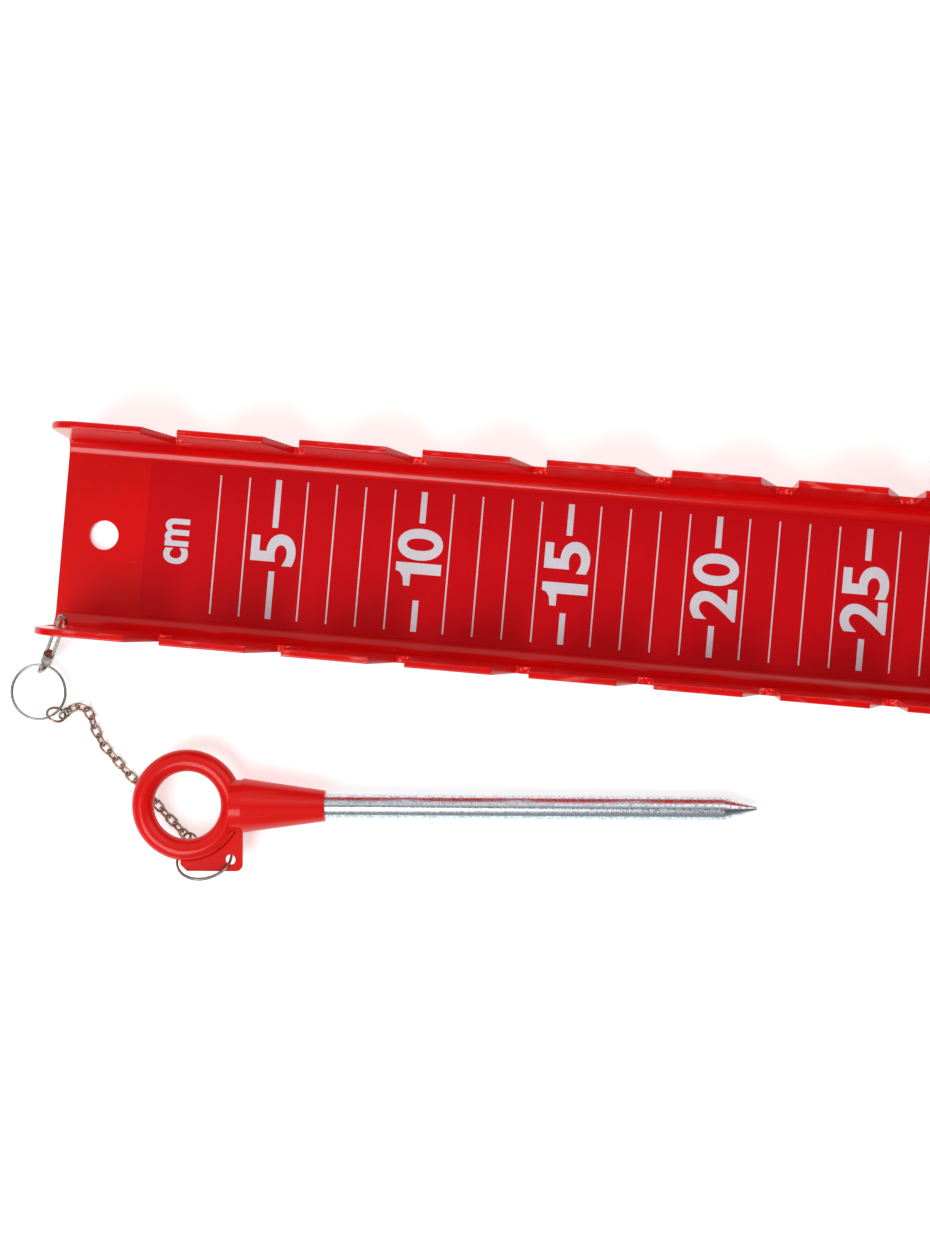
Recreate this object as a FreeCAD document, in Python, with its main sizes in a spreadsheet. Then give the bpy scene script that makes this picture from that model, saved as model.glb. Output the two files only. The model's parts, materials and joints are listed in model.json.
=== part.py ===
import FreeCAD, Part
import Sketcher
import math
import os
import re

# Starting blocks for sprint starts: a notched steel rail that carries two foot pedals,
# with an anchor spike tethered to each end. Millimetres. The rail lies along X with its
# front end, the end nearest the start line, at -X. Z is up and the rail rests on Z = 0.

Vector = FreeCAD.Vector
Rotation = FreeCAD.Rotation
Placement = FreeCAD.Placement
X_AXIS = Vector(1, 0, 0)
Y_AXIS = Vector(0, 1, 0)
Z_AXIS = Vector(0, 0, 1)

doc = FreeCAD.newDocument("StartingBlocks")
sheet = doc.addObject("Spreadsheet::Sheet", "Sizes")

SIZES = {
    # Rail: a folded channel with notched walls
    "rail_length": 760,
    "rail_base_width": 67.6,
    "rail_top_width": 70.2,
    "rail_height": 40,
    "rail_wall": 2.4,
    "rail_bend_radius": 4.5,
    "rail_lip_radius": 0.6,
    "rail_end_rake": 2,
    "rail_end_radius": 10,
    "notch_first": 45,
    "notch_pitch": 40,
    "notch_count": 18,
    "notch_gap": 11.8,
    "notch_run": 6.8,
    "notch_floor_height": 17.5,
    "anchor_hole_diameter": 10,
    "anchor_hole_inset": 14.6,
    "hook_hole_diameter": 8.8,
    "hook_hole_inset": 6.4,
    "hook_hole_height": 19.4,
    # Scale label stuck on the floor of the rail
    "label_width": 53,
    "label_thickness": 0.2,
    "label_inset": 29,
    "label_corner_radius": 1.5,
    # Tether: hook, split rings and chain
    "hook_reach": 22,
    "hook_tail": 8,
    "hook_width": 3.8,
    "hook_wire": 1.3,
    "hook_slope": 46,
    "hook_yaw": 32,
    "hook_collar_diameter": 3.8,
    "hook_collar_length": 2.5,
    "hook_eye_diameter": 6.9,
    "ring_offset": 1.6,
    "ring_height": 2.4,
    "split_ring_diameter": 19.5,
    "split_ring_strip": 0.8,
    "split_ring_height": 1.1,
    "chain_links": 20,
    "chain_start_reach": 11.69,
    "chain_start_angle": -42.5,
    "link_width": 3.8,
    "link_wire": 0.9,
    "link_play": 0.25,
    "link_roll": 45,
    "link_lift": 0.1,
    "jump_ring_diameter": 7.2,
    "jump_ring_wire": 0.9,
    "jump_reach": 10.04,
    "jump_angle": -45.5,
    "jump_height": 3.39,
    "jump_azimuth": -115.5,
    "jump_rise": -37.6,
    # Anchor spike
    "spike_x": 72,
    "spike_y": 87.1,
    "spike_lift": 0.02,
    "spike_yaw": 4.8,
    "spike_rod_diameter": 8,
    "spike_rod_reach": 172.5,
    "spike_point_length": 11,
    "spike_point_end": 1.2,
    "spike_socket_depth": 20,
    "spike_cone_length": 27.7,
    "spike_cone_wide": 18.3,
    "spike_cone_narrow": 10.4,
    "spike_neck_diameter": 17.4,
    "grip_ring_radius": 15.1,
    "grip_ring_tube": 3.7,
    "grip_gap": 0.3,
    "tab_thickness": 1.6,
    "tab_reach": 22.2,
    "tab_left": 21.3,
    "tab_right": 0.2,
    "tab_corner_radius": 2.2,
    "tab_hole_diameter": 3.4,
    "tab_ring_tilt": 50,
    "tab_ring_yaw": 8,
    "tab_ring_x": 13.5,
    "tab_ring_y": 18.2,
    "tab_ring_drop": 1.6,
    "tab_jump_back": 18.58,
    "tab_jump_side": 14.97,
    "tab_jump_height": 2.21,
    "tab_jump_azimuth": -172.9,
    "tab_jump_rise": 68,
    "chain_end_back": 19.31,
    "chain_end_side": 13.57,
    # Pedal carriers: a saddle over the rail with a wing on one side
    "left_notch": 8,
    "right_notch": 13,
    "bar_notches": 2,
    "bar_thickness": 4,
    "bar_height": 20,
    "bar_play": 0.35,
    "saddle_sheet": 3,
    "saddle_side_play": 0.8,
    "saddle_top_play": 1,
    "saddle_front": 24,
    "saddle_rear": 26,
    "saddle_skirt_height": 9,
    "wing_reach": 152,
    "wing_front": 28,
    "wing_rear": 118,
    "foot_thickness": 12,
    "foot_width": 26,
    "foot_seat": 5,
    "foot_edge_radius": 3,
    # Pedals
    "pedal_centre": 96,
    "pedal_width": 104,
    "pedal_length": 150,
    "pedal_start": 9,
    "pedal_sheet": 3,
    "pedal_web_offset": 9,
    "pedal_ear_radius": 9,
    "flange_tip_radius": 8,
    "lightening_hole_diameter": 12,
    "lightening_hole_place": 108,
    "pedal_angle": 45,
    "pedal_angle_range": 32,
    "hinge_height": 18,
    "hinge_inset": 14,
    "hinge_rod_diameter": 9,
    "hinge_play": 0.06,
    "hinge_play_side": 0.4,
    "hinge_cap_diameter": 16,
    "hinge_cap_thickness": 4,
    "bracket_sheet": 4,
    "bracket_play": 0.6,
    "bracket_heel": 14,
    "bracket_ear_radius": 8,
    "clamp_radius": 62,
    "clamp_angle": 30,
    "clamp_rod_diameter": 8,
    "clamp_slot_play": 0.3,
    "clamp_side_play": 0.4,
    "clamp_head_diameter": 16,
    "clamp_head_height": 5,
    "washer_diameter": 18,
    "washer_thickness": 2,
    "quadrant_band": 5,
    "knob_length": 16,
    "knob_hub_diameter": 24,
    "knob_lobes": 3,
    "knob_lobe_diameter": 14,
    "knob_lobe_reach": 13,
    "pad_thickness": 7,
    "pad_margin": 4,
    "pad_corner_radius": 6,
    "pad_rib_pitch": 11,
    "pad_groove_width": 4,
    "pad_groove_depth": 2.5,
    "rivet_diameter": 5,
    "rivet_head_diameter": 10,
    "rivet_head_height": 2,
    "rivet_pocket_depth": 3.5,
    "rivet_play": 0.5,
    "rivet_inset_u": 16,
    "rivet_inset_y": 16,
}

for row, (name, number) in enumerate(SIZES.items(), start=1):
    sheet.set(f"A{row}", name)
    sheet.set(f"B{row}", str(number))
    sheet.setAlias(f"B{row}", name)
doc.recompute()


def size(name):
    """The number that a named cell holds."""
    return float(sheet.get(name))


def formula(text):
    """Text with each size's name turned into a reference to its cell."""
    return re.sub(r"[a-z_]+", lambda m: f"Sizes.{m[0]}" if m[0] in SIZES else m[0], text)


def bind(item, **formulas):
    """Tie properties of an object to the sizes. A place is given as x, y and z."""
    for key, text in formulas.items():
        path = f".Placement.Base.{key}" if key in "xyz" else key
        item.setExpression(path, formula(text))
    return item


def evaluate(text):
    """The value of a formula that uses the sizes' names."""
    return float(sheet.evalExpression(formula(text)))


def box(name, length, width, height, x="0", y="0", z="0"):
    item = doc.addObject("Part::Box", name)
    return bind(item, Length=length, Width=width, Height=height, x=x, y=y, z=z)


def cylinder(name, radius, height, turn=Rotation(), x="0", y="0", z="0"):
    item = doc.addObject("Part::Cylinder", name)
    item.Placement = Placement(Vector(), turn)
    return bind(item, Radius=radius, Height=height, x=x, y=y, z=z)


def fuse(name, shapes):
    item = doc.addObject("Part::MultiFuse", name)
    item.Shapes = shapes
    item.Refine = True
    return item


def cut(name, base, tool):
    item = doc.addObject("Part::Cut", name)
    item.Base = base
    item.Tool = tool
    item.Refine = True
    return item


def plane(body, role):
    """One of a body's own origin planes."""
    return next(f for f in body.Origin.OriginFeatures if f.Role == role)


def sketch(body, name, role):
    item = body.newObject("Sketcher::SketchObject", name)
    item.AttachmentSupport = [(plane(body, role), "")]
    item.MapMode = "FlatFace"
    return item


def hold(item, rule, text, value, index, end):
    """Place a point of a sketch from its origin by a formula, or on the axis for zero."""
    if text == "0":
        item.addConstraint(Sketcher.Constraint("PointOnObject", index, end, -2 if rule[-1] == "X" else -1))
    else:
        place = item.addConstraint(Sketcher.Constraint(rule, -1, 1, index, end, value))
        item.setExpression(f"Constraints[{place}]", formula(text))


def polygon(item, points):
    """Closed outline of straight lines through the points, whose coordinates are formulas."""
    values = [tuple(evaluate(text) for text in point) for point in points]
    first = item.GeometryCount
    for start, end in zip(values, values[1:] + values[:1]):
        item.addGeometry(Part.LineSegment(Vector(*start, 0), Vector(*end, 0)), False)
    for index in range(len(points)):
        following = (index + 1) % len(points)
        item.addConstraint(Sketcher.Constraint("Coincident", first + index, 2, first + following, 1))
    for index, point in enumerate(points):
        for rule, text, value in zip(("DistanceX", "DistanceY"), point, values[index]):
            hold(item, rule, text, value, first + index, 1)
    return item


def solid(name, shape):
    """A sub-part whose shape is worked out from the sizes."""
    item = doc.addObject("Part::Feature", name)
    item.Shape = shape
    return item


PARTS = {}


def keep(node, item, placement=None):
    """Take a finished object as the sub-part of that name."""
    item.Label = node
    if placement is not None:
        item.Placement = placement
    PARTS[node] = item
    return item


ALONG_Y = Rotation(X_AXIS, -90)
ALONG_X = Rotation(Y_AXIS, 90)
TURNED = Placement(Vector(), Rotation(Z_AXIS, 180))


# Rail: one folded channel. Its walls lean out slightly and end in rounded, raked noses.

def straight_edges(shape, test):
    """Names of the edges whose two ends pass the test."""
    names = []
    for index, edge in enumerate(shape.Edges, start=1):
        ends = [vertex.Point for vertex in edge.Vertexes]
        if len(ends) == 2 and test(*ends):
            names.append(f"Edge{index}")
    return names


def round_edges(body, base, name, radius, test):
    doc.recompute()
    fillet = body.newObject("PartDesign::Fillet", name)
    fillet.Base = (base, straight_edges(base.Shape, test))
    fillet.setExpression("Radius", formula(radius))
    doc.recompute()
    return fillet


def near(value, target):
    return abs(value - target) < 0.01


def pocket(body, name, profile, kind="ThroughAll", side="Symmetric", reverse=False):
    """A pocket that has to take material away."""
    doc.recompute()
    before = body.Shape.Volume
    item = body.newObject("PartDesign::Pocket", name)
    item.Profile = profile
    item.Type = kind
    item.SideType = side
    item.Reversed = reverse
    doc.recompute()
    if not body.Shape.Volume < before:
        raise RuntimeError(f"{name} cuts nothing")
    return item


def circle(item, radius, x, y):
    """Round outline whose radius and centre are formulas."""
    values = [evaluate(text) for text in (radius, x, y)]
    index = item.addGeometry(Part.Circle(Vector(values[1], values[2], 0), Z_AXIS, values[0]), False)
    for rule, text, value in (("DistanceX", x, values[1]), ("DistanceY", y, values[2])):
        hold(item, rule, text, value, index, 3)
    place = item.addConstraint(Sketcher.Constraint("Radius", index, values[0]))
    item.setExpression(f"Constraints[{place}]", formula(radius))


def make_rail():
    length = size("rail_length")
    height = size("rail_height")
    wall = size("rail_wall")
    slant = "((rail_top_width - rail_base_width) / 2 / rail_height)"
    thick = f"(rail_wall * sqrt(1 + {slant} ^ 2))"
    body = doc.addObject("PartDesign::Body", "RailBody")
    outline = polygon(sketch(body, "RailOutline", "YZ_Plane"), [
        ("-rail_base_width / 2", "0"),
        ("rail_base_width / 2", "0"),
        ("rail_top_width / 2", "rail_height"),
        ("-rail_top_width / 2", "rail_height"),
    ])
    pad = body.newObject("PartDesign::Pad", "RailPad")
    pad.Profile = outline
    pad.SideType = "Symmetric"
    pad.setExpression("Length", formula("rail_length"))
    outer = round_edges(body, pad, "RailOuterBends", "rail_bend_radius + rail_wall",
                        lambda a, b: near(a.z, 0) and near(b.z, 0) and near(a.y, b.y))
    low = f"(rail_base_width / 2 + {slant} * rail_wall - {thick})"
    high = f"(rail_top_width / 2 + {slant} * rail_wall - {thick})"
    inside = polygon(sketch(body, "RailInside", "YZ_Plane"), [
        (f"-{low}", "rail_wall"),
        (low, "rail_wall"),
        (high, "rail_height + rail_wall"),
        (f"-{high}", "rail_height + rail_wall"),
    ])
    trough = pocket(body, "RailTrough", inside)
    bends = round_edges(body, trough, "RailInnerBends", "rail_bend_radius",
                        lambda a, b: near(a.z, wall) and near(b.z, wall) and near(a.y, b.y))
    ends = sketch(body, "RailEnds", "XZ_Plane")
    for sign in ("-", ""):
        polygon(ends, [
            (f"{sign}rail_length / 2", "0"),
            (f"{sign}(rail_length / 2 - rail_end_rake)", "rail_height"),
            (f"{sign}(rail_length / 2 - rail_end_rake)", "rail_height + rail_wall"),
            (f"{sign}(rail_length / 2 + rail_wall)", "rail_height + rail_wall"),
            (f"{sign}(rail_length / 2 + rail_wall)", "0"),
        ])
    rake = pocket(body, "RailRake", ends)
    rake_x = length / 2 - size("rail_end_rake")
    noses = round_edges(body, rake, "RailNoses", "rail_end_radius",
                        lambda a, b: near(a.z, height) and near(b.z, height)
                        and near(abs(a.x), rake_x) and near(a.x, b.x))
    lips = round_edges(body, noses, "RailLips", "rail_lip_radius",
                       lambda a, b: near(a.z, height) and near(b.z, height)
                       and abs(a.x - b.x) > length / 2)
    notch = polygon(sketch(body, "NotchOutline", "XZ_Plane"), [
        ("notch_first - rail_length / 2", "notch_floor_height"),
        ("notch_first - rail_length / 2", "rail_height"),
        ("notch_first - rail_length / 2 - notch_gap", "rail_height"),
        ("notch_first - rail_length / 2 - notch_gap + notch_run", "notch_floor_height"),
    ])
    first = pocket(body, "FirstNotch", notch)
    before = body.Shape.Volume
    row = body.newObject("PartDesign::LinearPattern", "NotchRow")
    row.Originals = [first]
    row.Direction = (plane(body, "X_Axis"), [""])
    row.setExpression("Length", formula("notch_pitch * (notch_count - 1)"))
    row.setExpression("Occurrences", formula("notch_count"))
    body.Tip = row
    doc.recompute()
    if not body.Shape.Volume < before:
        raise RuntimeError("the row of notches cuts nothing")
    holes = sketch(body, "AnchorHoles", "XY_Plane")
    for sign in ("-", ""):
        circle(holes, "anchor_hole_diameter / 2", f"{sign}(rail_length / 2 - anchor_hole_inset)", "0")
    pocket(body, "AnchorPocket", holes)
    for name, sign, reverse in (("Front", "-", True), ("Rear", "", False)):
        hole = sketch(body, f"{name}HookHole", "XZ_Plane")
        circle(hole, "hook_hole_diameter / 2", f"{sign}(rail_length / 2 - hook_hole_inset)",
               "hook_hole_height")
        pocket(body, f"{name}HookPocket", hole, side="One side", reverse=reverse)
    keep("rail_channel", body)


def make_label():
    body = doc.addObject("PartDesign::Body", "LabelBody")
    outline = polygon(sketch(body, "LabelOutline", "XY_Plane"), [
        ("label_inset - rail_length / 2", "-label_width / 2"),
        ("rail_length / 2 - label_inset", "-label_width / 2"),
        ("rail_length / 2 - label_inset", "label_width / 2"),
        ("label_inset - rail_length / 2", "label_width / 2"),
    ])
    outline.setExpression(".AttachmentOffset.Base.z", formula("rail_wall"))
    pad = body.newObject("PartDesign::Pad", "LabelPad")
    pad.Profile = outline
    pad.setExpression("Length", formula("label_thickness"))
    round_edges(body, pad, "LabelCorners", "label_corner_radius",
                lambda a, b: near(a.x, b.x) and near(a.y, b.y))
    keep("scale_label", body)


make_rail()
make_label()


# Tether: a snap hook through the rail's wall, a split ring, a chain and a second split
# ring that passes through the spike's tab. The rear set is the front one turned half round.

def end_placement(place, end):
    """A place given at the front end, taken to the front or the rear end."""
    return place if end == "front" else TURNED * place


def oval(length, width, wire):
    """Closed oval of round wire in the XY plane, centred on the origin, long along X.
    Length and width are outer sizes."""
    bend = width / 2 - wire / 2
    reach = length / 2 - width / 2
    pieces = []
    for side in (1, -1):
        half = Part.makeTorus(bend, wire / 2, Vector(), Z_AXIS, 0, 360, 180)
        half.Placement = Placement(Vector(side * reach, 0, 0), Rotation(Z_AXIS, -90 * side))
        pieces.append(half)
        pieces.append(Part.makeCylinder(wire / 2, 2 * reach, Vector(-reach, side * bend, 0), X_AXIS))
    return pieces[0].multiFuse(pieces[1:]).removeSplitter()


def hoop(diameter, wire):
    """Round ring of round wire in the XY plane."""
    return Part.makeTorus(diameter / 2 - wire / 2, wire / 2)


def strip_ring():
    """Split ring as one flat-sided hoop, centred on the origin in the XY plane."""
    radius = size("split_ring_diameter") / 2
    height = size("split_ring_height")
    base = Vector(0, 0, -height / 2)
    outside = Part.makeCylinder(radius, height, base)
    return outside.cut(Part.makeCylinder(radius - size("split_ring_strip"), height, base))


def front_point(x, y, z):
    """A place measured from the middle of the rail's front end."""
    return Vector(x - size("rail_length") / 2, y, z)


HOOK_TILT = Rotation(Z_AXIS, -90 - size("hook_yaw")) * Rotation(Y_AXIS, size("hook_slope"))
WALL_LEAN = (size("rail_top_width") - size("rail_base_width")) / 2 / size("rail_height")
HOOK_HOLE = front_point(
    size("hook_hole_inset"),
    (size("rail_wall") - size("rail_base_width")) / 2 - WALL_LEAN * size("hook_hole_height"),
    size("hook_hole_height"),
)
HOOK_EYE = HOOK_HOLE + HOOK_TILT.multVec(Vector(size("hook_reach"), 0, 0))
RING_MIDDLE = size("split_ring_diameter") / 2 - size("split_ring_strip") / 2
RING_CENTRE = HOOK_EYE + Vector(-size("ring_offset"), -RING_MIDDLE, size("ring_height") - HOOK_EYE.z)


def make_hook(end):
    """Narrow wire loop, its crimped collar and the eye that holds the split ring. The eye
    stands upright, so that the ring can turn through it."""
    wire = size("hook_wire")
    loop_end = size("hook_reach") - size("hook_eye_diameter") / 2 - size("hook_collar_length")
    loop_length = size("hook_tail") + loop_end
    loop = oval(loop_length, size("hook_width"), wire)
    loop.translate(Vector(loop_end - loop_length / 2, 0, 0))
    collar = Part.makeCylinder(
        size("hook_collar_diameter") / 2,
        size("hook_collar_length") + 2 * wire,
        Vector(loop_end - wire, 0, 0),
        X_AXIS,
    )
    eye = hoop(size("hook_eye_diameter"), wire)
    eye.rotate(Vector(), X_AXIS, 90)
    eye.translate(Vector(size("hook_reach"), 0, 0))
    hook = solid(f"Hook_{end}", loop.multiFuse([collar, eye]).removeSplitter())
    keep(f"{end}_snap_hook", hook, end_placement(Placement(HOOK_HOLE, HOOK_TILT), end))


def spike_place():
    """The spike lies on the wide end of its cone and on the rod, so it dips to its point."""
    drop = (size("spike_cone_wide") - size("spike_rod_diameter")) / 2
    run = size("spike_rod_reach") - size("spike_point_length")
    dip = math.degrees(math.asin(drop / run))
    base = front_point(size("spike_x"), -size("spike_y"), size("spike_cone_wide") / 2 + size("spike_lift"))
    return Placement(base, Rotation(Z_AXIS, size("spike_yaw")) * Rotation(Y_AXIS, dip))


SPIKE = spike_place()
TAB_RING_TURN = Rotation(Z_AXIS, size("tab_ring_yaw")) * Rotation(X_AXIS, -size("tab_ring_tilt"))
TAB_RING_CENTRE = Vector(-size("tab_ring_x"), -size("tab_ring_y"), -size("tab_ring_drop"))


def on_tab_ring(angle):
    """Point of the tab's split ring, in the spike's own frame. Zero is at its right."""
    turn = math.radians(angle)
    flat = Vector(RING_MIDDLE * math.cos(turn), RING_MIDDLE * math.sin(turn), 0)
    return TAB_RING_CENTRE + TAB_RING_TURN.multVec(flat)


def tab_crossing():
    """Where the split ring crosses the middle plane of the tab, at its right-hand side."""
    rise = size("tab_ring_drop") / RING_MIDDLE / math.sin(math.radians(size("tab_ring_tilt")))
    return on_tab_ring(-math.degrees(math.asin(rise)))


TAB_HOLE = tab_crossing()


def make_split_rings(end):
    ring = solid(f"HookRing_{end}", strip_ring())
    keep(f"{end}_hook_split_ring", ring, end_placement(Placement(RING_CENTRE, Rotation()), end))
    ring = solid(f"TabRing_{end}", strip_ring())
    place = SPIKE * Placement(TAB_RING_CENTRE, TAB_RING_TURN)
    keep(f"{end}_tab_split_ring", ring, end_placement(place, end))


# The chain's way over the floor between its two ends, chosen by hand, in millimetres from
# the middle of the rail's front end
CHAIN_ROUTE = [
    (8.2, -60.0), (11.5, -58.8), (14.6, -60.1), (15.9, -63.2), (17.2, -66.8),
    (20.7, -72.1), (30.6, -81.2), (39.2, -88.4), (43.5, -92.7),
]


def level(angle, reach):
    """Level vector of a given length, at an angle in degrees from the rail's direction."""
    return Rotation(Z_AXIS, angle).multVec(Vector(reach, 0, 0))


def walk(route, step, count):
    """Points one step apart that follow the route's points in turn."""
    points = [route[0]]
    goals = list(route[1:])
    while len(points) <= count:
        way = goals[0] - points[-1]
        if way.Length < step and len(goals) > 1:
            goals.pop(0)
        else:
            points.append(points[-1] + way * (step / way.Length))
    return points


def fitted_walk(route, count):
    """The walk of so many steps that ends on the route's last point."""
    tries = 400
    shortest = 0.9
    span = sum((b - a).Length for a, b in zip(route, route[1:])) / count
    scales = [1 - (1 - shortest) * part / tries for part in range(tries)]
    walks = [walk(route, span * scale, count) for scale in scales]
    return min(walks, key=lambda points: (points[-1] - route[-1]).Length)


def jump_ring(centre, azimuth, rise):
    """Round ring whose axis points at an azimuth and rises by an angle."""
    ring = hoop(size("jump_ring_diameter"), size("jump_ring_wire"))
    turn = Rotation(Z_AXIS, azimuth) * Rotation(Y_AXIS, 90 - rise)
    ring.Placement = Placement(centre, turn)
    return ring


def make_chain(end):
    """Oval links rolled half a right angle to each side in turn, with a round ring at each
    end. Each link is a separate solid."""
    wire = size("link_wire")
    start = RING_CENTRE + level(size("chain_start_angle"), size("chain_start_reach"))
    stop = front_point(
        size("spike_x") - size("chain_end_back"),
        -size("spike_y") - size("chain_end_side"),
        0,
    )
    route = [Vector(start.x, start.y, 0)] + [front_point(x, y, 0) for x, y in CHAIN_ROUTE] + [stop]
    knots = fitted_walk(route, int(size("chain_links")))
    length = (knots[1] - knots[0]).Length + 2 * wire + size("link_play")
    tilt = size("link_roll")
    half = (size("link_width") - wire) / 2
    height = half * math.sin(math.radians(tilt)) + wire / 2 + size("link_lift")
    links = []
    for index, (first, second) in enumerate(zip(knots, knots[1:])):
        middle = (first + second) / 2 + Vector(0, 0, height)
        yaw = math.degrees(math.atan2(second.y - first.y, second.x - first.x))
        link = oval(length, size("link_width"), wire)
        roll = Rotation(X_AXIS, -tilt if index % 2 else tilt)
        link.Placement = Placement(middle, Rotation(Z_AXIS, yaw) * roll)
        links.append(link)
    beside_hook = RING_CENTRE + level(size("jump_angle"), size("jump_reach"))
    beside_hook.z = size("jump_height")
    links.append(jump_ring(beside_hook, size("jump_azimuth"), size("jump_rise")))
    beside_tab = front_point(
        size("spike_x") - size("tab_jump_back"),
        -size("spike_y") - size("tab_jump_side"),
        size("tab_jump_height"),
    )
    links.append(jump_ring(beside_tab, size("tab_jump_azimuth"), size("tab_jump_rise")))
    chain = solid(f"Chain_{end}", Part.makeCompound(links))
    keep(f"{end}_chain", chain, end_placement(Placement(), end))


# Spike: a pointed rod pressed into a coned head with a finger ring and a welded tab

def make_spike(end):
    reach = "grip_ring_radius + grip_ring_tube + grip_gap"
    ring = doc.addObject("Part::Torus", f"Grip_{end}")
    bind(ring, Radius1="grip_ring_radius", Radius2="grip_ring_tube", x=f"-({reach})")
    neck = cylinder(f"Neck_{end}", "spike_neck_diameter / 2", "grip_gap + grip_ring_tube",
                    ALONG_X, x="-(grip_gap + grip_ring_tube)")
    cone = doc.addObject("Part::Cone", f"Cone_{end}")
    cone.Placement = Placement(Vector(), ALONG_X)
    bind(cone, Radius1="spike_cone_wide / 2", Radius2="spike_cone_narrow / 2",
         Height="spike_cone_length")
    blank = fuse(f"HeadBlank_{end}", [ring, neck, cone])
    socket = cylinder(f"Socket_{end}", "spike_rod_diameter / 2", "spike_socket_depth", ALONG_X,
                      x="spike_cone_length - spike_socket_depth")
    head = cut(f"Head_{end}", blank, socket)
    keep(f"{end}_spike_head", head, end_placement(SPIKE, end))

    body = doc.addObject("PartDesign::Body", f"Rod_{end}")
    profile = polygon(sketch(body, f"RodProfile_{end}", "XZ_Plane"), [
        ("spike_cone_length - spike_socket_depth", "0"),
        ("spike_rod_reach", "0"),
        ("spike_rod_reach", "spike_point_end / 2"),
        ("spike_rod_reach - spike_point_length", "spike_rod_diameter / 2"),
        ("spike_cone_length - spike_socket_depth", "spike_rod_diameter / 2"),
    ])
    turned = body.newObject("PartDesign::Revolution", f"RodTurned_{end}")
    turned.Profile = profile
    turned.ReferenceAxis = (plane(body, "X_Axis"), [""])
    keep(f"{end}_spike_rod", body, end_placement(SPIKE, end))

    plate = doc.addObject("PartDesign::Body", f"TabPlate_{end}")
    outline = polygon(sketch(plate, f"TabOutline_{end}", "XY_Plane"), [
        ("-tab_right", "-spike_neck_diameter / 2 + tab_corner_radius"),
        ("-tab_left", "-grip_ring_radius"),
        ("-tab_left", "-tab_reach + tab_corner_radius"),
        ("-tab_left + tab_corner_radius", "-tab_reach"),
        ("-tab_right", "-tab_reach"),
    ])
    flat = plate.newObject("PartDesign::Pad", f"TabPad_{end}")
    flat.Profile = outline
    flat.SideType = "Symmetric"
    flat.setExpression("Length", formula("tab_thickness"))
    corner = -size("tab_reach")
    round_edges(plate, flat, f"TabCorner_{end}", "tab_corner_radius",
                lambda a, b: near(a.x, -size("tab_right")) and near(a.y, corner)
                and near(b.x, a.x) and near(b.y, a.y))
    drill = cylinder(f"TabDrill_{end}", "tab_hole_diameter / 2", "2 * tab_thickness",
                     x=f"{TAB_HOLE.x:.4f}", y=f"{TAB_HOLE.y:.4f}", z="-tab_thickness")
    weld = doc.addObject("Part::Torus", f"TabSeat_{end}")
    bind(weld, Radius1="grip_ring_radius", Radius2="grip_ring_tube", x=f"-({reach})")
    middle = cylinder(f"TabInner_{end}", "grip_ring_radius", "2 * tab_thickness",
                      x=f"-({reach})", z="-tab_thickness")
    neck_seat = cylinder(f"TabNeckSeat_{end}", "spike_neck_diameter / 2",
                         "grip_gap + grip_ring_tube", ALONG_X, x="-(grip_gap + grip_ring_tube)")
    tab = cut(f"Tab_{end}", plate, fuse(f"TabTools_{end}", [drill, weld, middle, neck_seat]))
    keep(f"{end}_spike_tab", tab, end_placement(SPIKE, end))


for end in ("front", "rear"):
    make_hook(end)
    make_split_rings(end)
    make_chain(end)
    make_spike(end)


# Pedal blocks: a saddle that drops over the rail on two locking bars, with a wing on one
# side that carries the hinged pedal and stands on a rubber foot.

SKIRT_IN = "(rail_top_width / 2 + saddle_side_play)"
SKIRT_OUT = f"({SKIRT_IN} + saddle_sheet)"
DECK = "(rail_height + saddle_top_play)"
DECK_TOP = f"({DECK} + saddle_sheet)"
HINGE_Z = f"({DECK_TOP} + hinge_height)"
FLANGE_OUT = "(pedal_width / 2)"
BRACKET_OUT = f"({FLANGE_OUT} - pedal_sheet - bracket_play)"


def middle_box(name, length, width, height, x, y_middle, z):
    """Box whose y is given at its middle."""
    return box(name, length, width, height, x, f"{y_middle} - ({width}) / 2", z)


def cross_rod(name, radius, width, x, y_middle, z):
    """Round bar along Y whose y is given at its middle."""
    return cylinder(name, radius, width, ALONG_Y, x, f"{y_middle} - ({width}) / 2", z)


def plate_from(points, thickness, y_middle, holes=()):
    """Upright sheet in the XZ plane with round corners at the points, each an x, a z and a
    radius, and with round holes of the same form."""
    spots = [Vector(x, 0, z) for x, z, radius in points]
    radii = [radius for x, z, radius in points]
    hull = []
    for index, spot in enumerate(spots):
        following = spots[(index + 1) % len(spots)]
        hull.extend(tangent_line(spot, radii[index], following, radii[(index + 1) % len(spots)]))
    edges = []
    for index in range(len(spots)):
        start = hull[2 * index - 1]
        stop = hull[2 * index]
        if radii[index] > 0:
            edges.append(arc_about(spots[index], start, stop))
        edges.append(Part.makeLine(stop, hull[2 * index + 1]))
    face = Part.Face(Part.Wire(edges))
    face.translate(Vector(0, y_middle - thickness / 2, 0))
    plate = face.extrude(Vector(0, thickness, 0))
    for x, z, radius in holes:
        base = Vector(x, y_middle - thickness, z)
        plate = plate.cut(Part.makeCylinder(radius, 2 * thickness, base, Y_AXIS))
    return plate


def tangent_line(start, start_radius, stop, stop_radius):
    """The ends of the straight run that touches two circles on their outer side, for
    circles taken anticlockwise when seen from -Y."""
    way = stop - start
    angle = math.atan2(way.z, way.x)
    lean = math.asin((start_radius - stop_radius) / way.Length)
    side = angle - math.pi / 2 + lean
    out = Vector(math.cos(side), 0, math.sin(side))
    return start + out * start_radius, stop + out * stop_radius


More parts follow.
